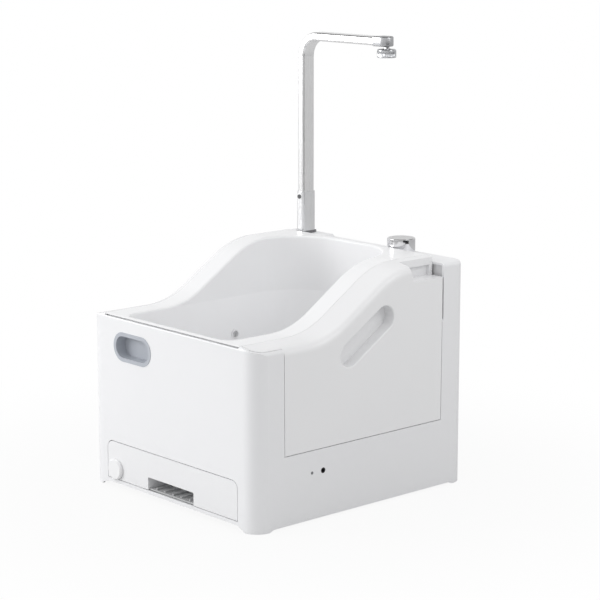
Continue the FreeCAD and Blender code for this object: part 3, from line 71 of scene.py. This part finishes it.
class Nodes:
    """A short way to add and join shader nodes."""

    def __init__(self, tree):
        self.tree = tree

    def add(self, kind, **settings):
        node = self.tree.nodes.new(kind)
        for name, value in settings.items():
            setattr(node, name, value)
        return node

    def join(self, out, into):
        self.tree.links.new(out, into)

    def place(self):
        """Where a point lies, in metres in the object's own frame."""
        return self.add("ShaderNodeTexCoord").outputs["Object"]

    def math(self, operation, first, second):
        """An operation on two values, each a number or another node's output."""
        node = self.add("ShaderNodeMath", operation=operation)
        for socket, value in zip(node.inputs, (first, second)):
            if isinstance(value, (int, float)):
                socket.default_value = value
            else:
                self.join(value, socket)
        return node.outputs[0]

    def spread(self, value, low, high, to_low, to_high, smooth=True):
        """Maps the range from low to high onto the range from to_low to to_high."""
        node = self.add("ShaderNodeMapRange")
        if smooth:
            node.interpolation_type = "SMOOTHSTEP"
        self.join(value, node.inputs["Value"])
        for name, number in (("From Min", low), ("From Max", high),
                             ("To Min", to_low), ("To Max", to_high)):
            node.inputs[name].default_value = number
        return node.outputs["Result"]

    def noise(self, where, scale, detail, roughness=0.5):
        node = self.add("ShaderNodeTexNoise")
        self.join(where, node.inputs["Vector"])
        node.inputs["Scale"].default_value = scale
        node.inputs["Detail"].default_value = detail
        node.inputs["Roughness"].default_value = roughness
        return node.outputs["Fac"]


def start_material(name):
    material = bpy.data.materials.new(name)
    material.use_nodes = True
    shader = material.node_tree.nodes["Principled BSDF"]
    return material, Nodes(material.node_tree), shader


def tinted(nodes, shader, colour, value, swing):
    """The base colour, a little lighter and darker with value."""
    ramp = nodes.add("ShaderNodeValToRGB")
    dark, light = ramp.color_ramp.elements
    dark.position = NOISE_LOW
    light.position = NOISE_HIGH
    dark.color = (*[max(0, c * (1 - swing)) for c in colour], 1)
    light.color = (*[min(1, c * (1 + swing)) for c in colour], 1)
    nodes.join(value, ramp.inputs["Fac"])
    nodes.join(ramp.outputs["Color"], shader.inputs["Base Color"])


def roughened(nodes, shader, value, smoothest, roughest):
    """A roughness that follows value."""
    nodes.join(nodes.spread(value, NOISE_LOW, NOISE_HIGH, smoothest, roughest),
               shader.inputs["Roughness"])


def bumped(nodes, shader, height, strength, distance):
    bump = nodes.add("ShaderNodeBump")
    bump.inputs["Strength"].default_value = strength
    bump.inputs["Distance"].default_value = distance
    nodes.join(height, bump.inputs["Height"])
    nodes.join(bump.outputs["Normal"], shader.inputs["Normal"])


# --- finishes -----------------------------------------------------------------------------

finishes = {}


def plastic(name, colour, rough, grains, depth, swing=0.004, coat=0.0):
    """Moulded plastic: a fine grain, faint flow clouds and a roughness that varies a little.

    grains is the grain's scale per metre, depth its height, and swing how far the clouds
    change the colour.
    """
    material, nodes, shader = start_material(name)
    where = nodes.place()
    clouds = nodes.noise(where, CLOUD_SCALE, 1.0)
    smudge = nodes.noise(where, SMUDGE_SCALE, 4.0)
    grain = nodes.noise(where, grains, 3.0, roughness=0.6)
    tinted(nodes, shader, colour, clouds, swing)
    roughened(nodes, shader, smudge, rough * 0.97, rough * 1.03)
    bumped(nodes, shader, grain, 0.35, depth)
    shader.inputs["IOR"].default_value = 1.46
    if coat:
        shader.inputs["Coat Weight"].default_value = coat
        shader.inputs["Coat Roughness"].default_value = 0.12
    finishes[name] = material


def metal(name, colour, rough, brush, brush_axis=None):
    """Metal: fine lines along brush_axis, or a fine grain where it has none, and a faint haze.

    brush is the strength of the lines or grain, and brush_axis is 0, 1 or 2 for X, Y or Z.
    """
    material, nodes, shader = start_material(name)
    where = nodes.place()
    stretch = nodes.add("ShaderNodeMapping")
    scales = [METAL_GRAIN, METAL_GRAIN, METAL_GRAIN]
    if brush_axis is not None:
        scales[brush_axis] = BRUSH_LENGTHWAYS
    stretch.inputs["Scale"].default_value = scales
    nodes.join(where, stretch.inputs["Vector"])
    lines = nodes.noise(stretch.outputs["Vector"], 1.0, 2.0)
    haze = nodes.noise(where, HAZE_SCALE, 3.0)
    tinted(nodes, shader, colour, haze, 0.02)
    roughened(nodes, shader, lines, rough * 0.8, rough * 1.25)
    bumped(nodes, shader, lines, brush, 0.02 * MM)
    shader.inputs["Metallic"].default_value = 1.0
    finishes[name] = material


def circuit_board(name):
    """Green solder mask over faint copper tracks."""
    material, nodes, shader = start_material(name)
    tracks = nodes.add("ShaderNodeTexBrick")
    nodes.join(nodes.place(), tracks.inputs["Vector"])
    tracks.inputs["Scale"].default_value = 160.0
    tracks.inputs["Mortar Size"].default_value = 0.03
    tracks.inputs["Color1"].default_value = (0.02, 0.15, 0.07, 1)
    tracks.inputs["Color2"].default_value = (0.025, 0.17, 0.08, 1)
    tracks.inputs["Mortar"].default_value = (0.06, 0.24, 0.12, 1)
    nodes.join(tracks.outputs["Color"], shader.inputs["Base Color"])
    shader.inputs["Roughness"].default_value = 0.35
    bumped(nodes, shader, tracks.outputs["Fac"], 0.3, 0.1 * MM)
    finishes[name] = material


plastic("white_shell", (0.845, 0.848, 0.862), rough=0.3, grains=1500, depth=0.03 * MM)
plastic("white_tub", (0.86, 0.862, 0.872), rough=0.24, grains=1500, depth=0.02 * MM)
plastic("white_drawer", (0.835, 0.838, 0.85), rough=0.32, grains=1500, depth=0.03 * MM)
plastic("white_knob", (0.87, 0.872, 0.88), rough=0.26, grains=1500, depth=0.02 * MM)
plastic("white_inner", (0.74, 0.74, 0.75), rough=0.5, grains=900, depth=0.06 * MM)
plastic("grey_base", (0.36, 0.37, 0.38), rough=0.5, grains=900, depth=0.08 * MM)
plastic("rubber", (0.2, 0.2, 0.21), rough=0.7, grains=1200, depth=0.1 * MM, swing=0.06)
plastic("grey_trim", (0.8, 0.8, 0.81), rough=0.35, grains=1200, depth=0.04 * MM)
plastic("grey_liner", (0.47, 0.475, 0.48), rough=0.45, grains=1400, depth=0.06 * MM)
plastic("grey_grip", (0.46, 0.485, 0.53), rough=0.36, grains=1500, depth=0.04 * MM, swing=0.02)
plastic("nozzle_rubber", (0.26, 0.27, 0.29), rough=0.6, grains=1500, depth=0.06 * MM, swing=0.04)
plastic("dark_button", (0.1, 0.1, 0.105), rough=0.4, grains=1500, depth=0.03 * MM, swing=0.03)
plastic("black_plastic", (0.03, 0.03, 0.033), rough=0.38, grains=1500, depth=0.04 * MM, swing=0.05)
plastic("led_lens", (0.2, 0.205, 0.215), rough=0.12, grains=1500, depth=0.01 * MM, swing=0.03,
        coat=0.6)
plastic("hose_clear", (0.72, 0.74, 0.75), rough=0.35, grains=1000, depth=0.04 * MM)
metal("steel", (0.6, 0.6, 0.61), rough=0.3, brush=0.15)
metal("strainer_steel", (0.64, 0.64, 0.65), rough=0.28, brush=0.25, brush_axis=0)
metal("mesh_steel", (0.55, 0.55, 0.56), rough=0.35, brush=0.2, brush_axis=1)
metal("sleeve_satin", (0.88, 0.885, 0.895), rough=0.34, brush=0.2, brush_axis=2)
metal("pipe_chrome", (0.96, 0.96, 0.965), rough=0.24, brush=0.05, brush_axis=2)
metal("elbow_satin", (0.56, 0.565, 0.58), rough=0.34, brush=0.3, brush_axis=0)
metal("chrome_trim", (0.82, 0.82, 0.835), rough=0.045, brush=0.02)
metal("nozzle_metal", (0.66, 0.67, 0.69), rough=0.2, brush=0.15)
metal("cap_satin", (0.86, 0.86, 0.865), rough=0.34, brush=0.25, brush_axis=1)
circuit_board("board_green")

slot_of = {row["node"]: row["material_slot"] for row in frame["record"]["subparts"]}

for node, piece in frame["nodes"].items():
    piece.data.materials.clear()
    piece.data.materials.append(finishes[slot_of[node]])


# --- mesh helpers ----------------------------------------------------------------------

def vectors(box):
    """A box's lowest and highest corners as vectors."""
    return [Vector(corner) for corner in box]


def centre(node):
    low, high = vectors(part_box(node))
    return (low + high) / 2


def add_object(name, data):
    thing = bpy.data.objects.new(name, data)
    bpy.context.collection.objects.link(thing)
    return thing


def new_piece(name, mesh, finish, body):
    """A smooth shaded piece of the object that moves with a body."""
    piece = add_object(name, mesh)
    mesh.materials.clear()
    mesh.materials.append(finishes[finish])
    for face in mesh.polygons:
        face.use_smooth = True
    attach(piece, body)
    return piece


def mesh_of(name, points, faces):
    """A mesh with doubled points joined and its faces turned outwards."""
    mesh = bpy.data.meshes.new(name)
    mesh.from_pydata([tuple(point) for point in points], [], faces)
    mesh.validate()
    work = bmesh.new()
    work.from_mesh(mesh)
    bmesh.ops.remove_doubles(work, verts=work.verts, dist=1e-6)
    bmesh.ops.recalc_face_normals(work, faces=work.faces)
    work.to_mesh(mesh)
    work.free()
    return mesh


def arc(cx, cy, radius, start, end, steps):
    """Points of an arc in a profile, angles in degrees."""
    angles = [math.radians(start + (end - start) * i / steps) for i in range(steps + 1)]
    return [(cx + radius * math.cos(angle), cy + radius * math.sin(angle)) for angle in angles]


def wall_faces(rows, count):
    """Four-sided faces between closed rows of count points each."""
    faces = []
    for row in range(rows - 1):
        for step in range(count):
            after = (step + 1) % count
            faces.append((row * count + step, row * count + after,
                          (row + 1) * count + after, (row + 1) * count + step))
    return faces


def lathe(name, profile, where, steps, wave=None):
    """Turns (radius, height) points about a vertical axis.

    Where wave is given, wave(height, angle) is added to the radius.
    """
    points = []
    for radius, height in profile:
        for step in range(steps):
            angle = 2 * math.pi * step / steps
            reach = radius + (wave(height, angle) if wave else 0)
            points.append((where[0] + reach * math.cos(angle),
                           where[1] + reach * math.sin(angle), height))
    return mesh_of(name, points, wall_faces(len(profile), steps))


# --- flow knob ---------------------------------------------------------------------------

KNOB_STEPS = 128


def make_knob():
    """A chrome knob, a little narrower at its foot, with a satin cap let into its top."""
    low, high = vectors(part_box("control_knob"))
    spot = centre("control_knob")
    radius = (high.x - low.x) / 2
    top = vectors(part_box("knob_cap"))[1].z

    edge = 1.1 * MM
    foot_radius = radius - 0.7 * MM
    cap_radius = radius - 1.6 * MM
    rim_top = top - 0.3 * MM
    groove_floor = top - 0.9 * MM
    groove_slope = 0.2 * MM
    cap_lip = cap_radius - 0.4 * MM
    profile = [(0, low.z), (foot_radius - 2 * MM, low.z)]
    profile += arc(foot_radius - edge, low.z + edge, edge, -90, 0, 4)
    profile += [(radius, low.z + 3 * edge)]
    profile += arc(radius - edge, rim_top - edge, edge, 0, 90, 6)
    profile += [(cap_radius + groove_slope, rim_top), (cap_radius, groove_floor),
                (cap_lip, groove_floor)]
    body = new_piece("knob_body", lathe("knob_body", profile, spot, KNOB_STEPS), "chrome_trim",
                     "knob")
    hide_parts("control_knob")

    cap_edge = 0.5 * MM
    dish_radius = cap_radius - 0.7 * MM
    dish = 0.35 * MM
    profile = [(cap_lip, top - 1.2 * MM), (cap_radius - 0.15 * MM, top - 0.7 * MM)]
    profile += arc(dish_radius, top - cap_edge, cap_edge, 0, 90, 5)
    for share in (0.85, 0.6, 0.3, 0.0):
        profile.append((dish_radius * share, top - dish * (1 - share ** 2)))
    cap = new_piece("knob_top", lathe("knob_top", profile, spot, KNOB_STEPS), "cap_satin", "knob")
    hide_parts("knob_cap")


# --- nozzle -------------------------------------------------------------------------------

def make_nozzle():
    """The nozzle's metal shell, with a knurled band round its middle."""
    low, high = vectors(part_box("nozzle_body"))
    spot = centre("nozzle_body")
    radius = (high.x - low.x) / 2
    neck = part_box("nozzle_neck")
    neck_radius = (neck[1][0] - neck[0][0]) / 2

    ridges = 40
    ridge_steps = 6
    ridge_depth = 0.75 * MM
    band_low = low.z + 3 * MM
    band_high = high.z - 4 * MM
    run_out = 0.6 * MM

    def knurl(height, angle):
        inside = band_low < height < band_high
        return -ridge_depth * (0.5 - 0.5 * math.cos(ridges * angle)) if inside else 0

    face_edge = 1.2 * MM
    shoulder = 2.4 * MM
    profile = [(radius - 3.2 * MM, low.z + 0.6 * MM), (radius - 1.4 * MM, low.z)]
    profile += arc(radius - face_edge, low.z + face_edge, face_edge, -80, 0, 4)
    profile += [(radius, band_low), (radius, band_low + run_out),
                (radius, band_high - run_out), (radius, band_high)]
    profile += arc(radius - shoulder, high.z - 2.9 * MM, shoulder, 0, 80, 6)
    profile += [(neck_radius + 1.5 * MM, high.z - 0.2 * MM), (neck_radius + 0.6 * MM, high.z)]
    shell = lathe("nozzle_shell", profile, spot, ridges * ridge_steps, knurl)
    body = new_piece("nozzle_shell", shell, "nozzle_metal", "nozzle")
    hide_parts("nozzle_body")


# --- elbow at the end of the spout ------------------------------------------------------------

def elbow_mesh(low, high, round_x):
    """The arm's section carried on from the arm's end, with a half round about round_x."""
    arm_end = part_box("spout_pipe")[1][0]
    half = (high.y - low.y) / 2
    middle_y = (high.y + low.y) / 2
    corner = 2 * MM

    def plan(inset):
        reach = half - inset
        outline = [(arm_end, middle_y + reach), (arm_end, middle_y - reach)]
        return outline + arc(round_x, middle_y, reach, -90, 90, 28)

    turns = [math.radians(angle) for angle in (0, 30, 60, 90)]
    levels = [(low.z + corner - corner * math.cos(turn),
               corner - corner * math.sin(turn)) for turn in turns]
    levels += [(high.z - corner + corner * math.sin(turn),
                corner - corner * math.cos(turn)) for turn in turns]
    points = []
    for height, inset in levels:
        points += [(x, y, height) for x, y in plan(inset)]
    count = len(points) // len(levels)
    faces = wall_faces(len(levels), count)
    faces.append(tuple(range(count)))
    faces.append(tuple(range(len(points) - count, len(points))))
    return mesh_of("elbow_block", points, faces)


def neck_cutter(spot, low_z):
    """A turned solid that makes the neck's socket: wider at its mouth, and clear of the neck."""
    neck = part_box("nozzle_neck")
    reach = (neck[1][0] - neck[0][0]) / 2 + 0.6 * MM
    mouth_reach = reach + 2.4 * MM
    mouth_bottom = low_z - 2 * MM
    socket_top = neck[1][2] + 0.5 * MM
    profile = [(0, mouth_bottom), (mouth_reach, mouth_bottom), (mouth_reach, low_z),
               (reach, low_z + 4 * MM), (reach, socket_top), (0, socket_top)]
    return add_object("socket", lathe("socket", profile, spot, 48))


def make_elbow():
    """The satin end block of the spout, with a socket for the nozzle's neck."""
    low, high = vectors(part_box("spout_elbow"))
    spot = centre("nozzle_neck")
    block = new_piece("elbow_block", elbow_mesh(low, high, spot.x - 4 * MM), "elbow_satin", "pipe")
    cutter = neck_cutter(spot, low.z)
    hollow = block.modifiers.new("socket", "BOOLEAN")
    hollow.operation = "DIFFERENCE"
    hollow.object = cutter
    bpy.context.view_layer.update()
    evaluated = block.evaluated_get(bpy.context.evaluated_depsgraph_get())
    mesh = bpy.data.meshes.new_from_object(evaluated)
    block.modifiers.clear()
    block.data = mesh
    mesh.set_sharp_from_angle(angle=math.radians(40))
    bpy.data.objects.remove(cutter)
    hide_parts("spout_elbow")


make_knob()
make_nozzle()
make_elbow()


# --- floor, light and camera -----------------------------------------------------------------

FLOOR_HALF = 8
FLAG_DISTANCE = 1.6
FLAG_HEIGHT = 0.62

CAMERA_PLACE = (2.533, -2.2172, 0.9967)
CAMERA_TILT = 78.6
CAMERA_TURN = 48.18
CAMERA_LENS = 121.1
CAMERA_SENSOR = 36


def make_floor():
    """Grey to the light that bounces off it, and nearly white to the camera.

    The camera sees a little of the real shading near the object, and none beyond 0.9 m.
    """
    points = [(x * FLOOR_HALF, y * FLOOR_HALF, 0) for x, y in ((-1, -1), (1, -1), (1, 1), (-1, 1))]
    floor = add_object("floor", mesh_of("floor", points, [(0, 1, 2, 3)]))
    material, nodes, shader = start_material("floor_paper")
    shader.inputs["Base Color"].default_value = (0.6, 0.6, 0.6, 1)
    shader.inputs["Roughness"].default_value = 0.9
    glow = nodes.add("ShaderNodeEmission")
    glow.inputs["Color"].default_value = (1, 1, 1, 1)
    glow.inputs["Strength"].default_value = 1.0
    seen = nodes.add("ShaderNodeLightPath").outputs["Is Camera Ray"]
    away = nodes.add("ShaderNodeVectorMath", operation="LENGTH")
    nodes.join(nodes.place(), away.inputs[0])
    share = nodes.spread(away.outputs["Value"], 0.3, 0.9, 0.92, 1.0)
    mix = nodes.add("ShaderNodeMixShader")
    nodes.join(nodes.math("MULTIPLY", seen, share), mix.inputs["Fac"])
    nodes.join(shader.outputs["BSDF"], mix.inputs[1])
    nodes.join(glow.outputs["Emission"], mix.inputs[2])
    nodes.join(mix.outputs["Shader"], material.node_tree.nodes["Material Output"].inputs["Surface"])
    floor.data.materials.append(material)


def make_world():
    """A white room: brighter to the front left and above, darker to the rear right.

    The camera sees it plain white, and reflections see it with a dim ceiling.
    """
    world = bpy.data.worlds.new("studio")
    scene.world = world
    world.use_nodes = True
    nodes = Nodes(world.node_tree)
    direction = nodes.add("ShaderNodeTexCoord").outputs["Generated"]
    facing = nodes.add("ShaderNodeVectorMath", operation="DOT_PRODUCT")
    nodes.join(direction, facing.inputs[0])
    facing.inputs[1].default_value = Vector((-0.55, -0.6, 0.55)).normalized()
    room = nodes.spread(facing.outputs["Value"], -1.0, 1.0, 0.6, 0.97, smooth=False)

    split = nodes.add("ShaderNodeSeparateXYZ")
    nodes.join(direction, split.inputs[0])
    dimming = nodes.spread(split.outputs[2], 0.3, 0.7, 0.0, 0.85)
    paths = nodes.add("ShaderNodeLightPath")
    mirrored = nodes.math("MULTIPLY", dimming, paths.outputs["Is Glossy Ray"])
    room = nodes.math("MULTIPLY", room, nodes.math("SUBTRACT", 1.0, mirrored))

    seen = paths.outputs["Is Camera Ray"]
    hidden = nodes.math("SUBTRACT", 1.0, seen)
    shown = nodes.math("ADD", nodes.math("MULTIPLY", room, hidden), seen)
    background = world.node_tree.nodes["Background"]
    background.inputs["Color"].default_value = (1, 1, 1, 1)
    nodes.join(shown, background.inputs["Strength"])


def make_flag(name, bearing, half_angle):
    """A dark card that stands round the knob at a bearing, and shows only in reflections.

    bearing and half_angle are in degrees, seen from the knob, and bearing 0 is +X.
    """
    spot = centre("control_knob")
    aim = Vector((math.cos(math.radians(bearing)), math.sin(math.radians(bearing)), 0))
    across = Vector((-aim.y, aim.x, 0)) * FLAG_DISTANCE * math.tan(math.radians(half_angle))
    foot = Vector((spot.x, spot.y, 0)) + aim * FLAG_DISTANCE
    up = Vector((0, 0, FLAG_HEIGHT))
    corners = [foot - across, foot + across, foot + across + up, foot - across + up]
    card = add_object(name, mesh_of(name, corners, [(0, 1, 2, 3)]))
    material, _, shader = start_material(name)
    shader.inputs["Base Color"].default_value = (0.02, 0.02, 0.022, 1)
    shader.inputs["Roughness"].default_value = 0.9
    card.data.materials.append(material)
    card.visible_diffuse = False
    card.visible_shadow = False
    card.visible_camera = False


def area_light(name, place, aim, size, watts):
    light = bpy.data.lights.new(name, "AREA")
    light.shape = "RECTANGLE"
    light.size, light.size_y = size
    light.energy = watts
    lamp = add_object(name, light)
    lamp.location = place
    lamp.rotation_euler = (Vector(aim) - Vector(place)).to_track_quat("-Z", "Y").to_euler()


def make_camera():
    data = bpy.data.cameras.new("camera")
    data.sensor_width = CAMERA_SENSOR
    data.lens = CAMERA_LENS
    camera = add_object("camera", data)
    camera.location = CAMERA_PLACE
    camera.rotation_euler = (math.radians(CAMERA_TILT), 0, math.radians(CAMERA_TURN))
    scene.camera = camera


make_floor()
make_world()
make_flag("flag_right", bearing=-6, half_angle=24)
make_flag("flag_left", bearing=-126, half_angle=3.5)
area_light("key", place=(-1.9, -2.3, 1.2), aim=(0, 0, 0.25), size=(1.8, 1.6), watts=36)
area_light("top", place=(-0.1, 0.3, 2.4), aim=(0, 0, 0.3), size=(1.8, 1.8), watts=2)
area_light("side", place=(1.25, 0.45, 1.25), aim=(0.2, 0.05, 0.38), size=(0.7, 0.7), watts=3.5)
make_camera()
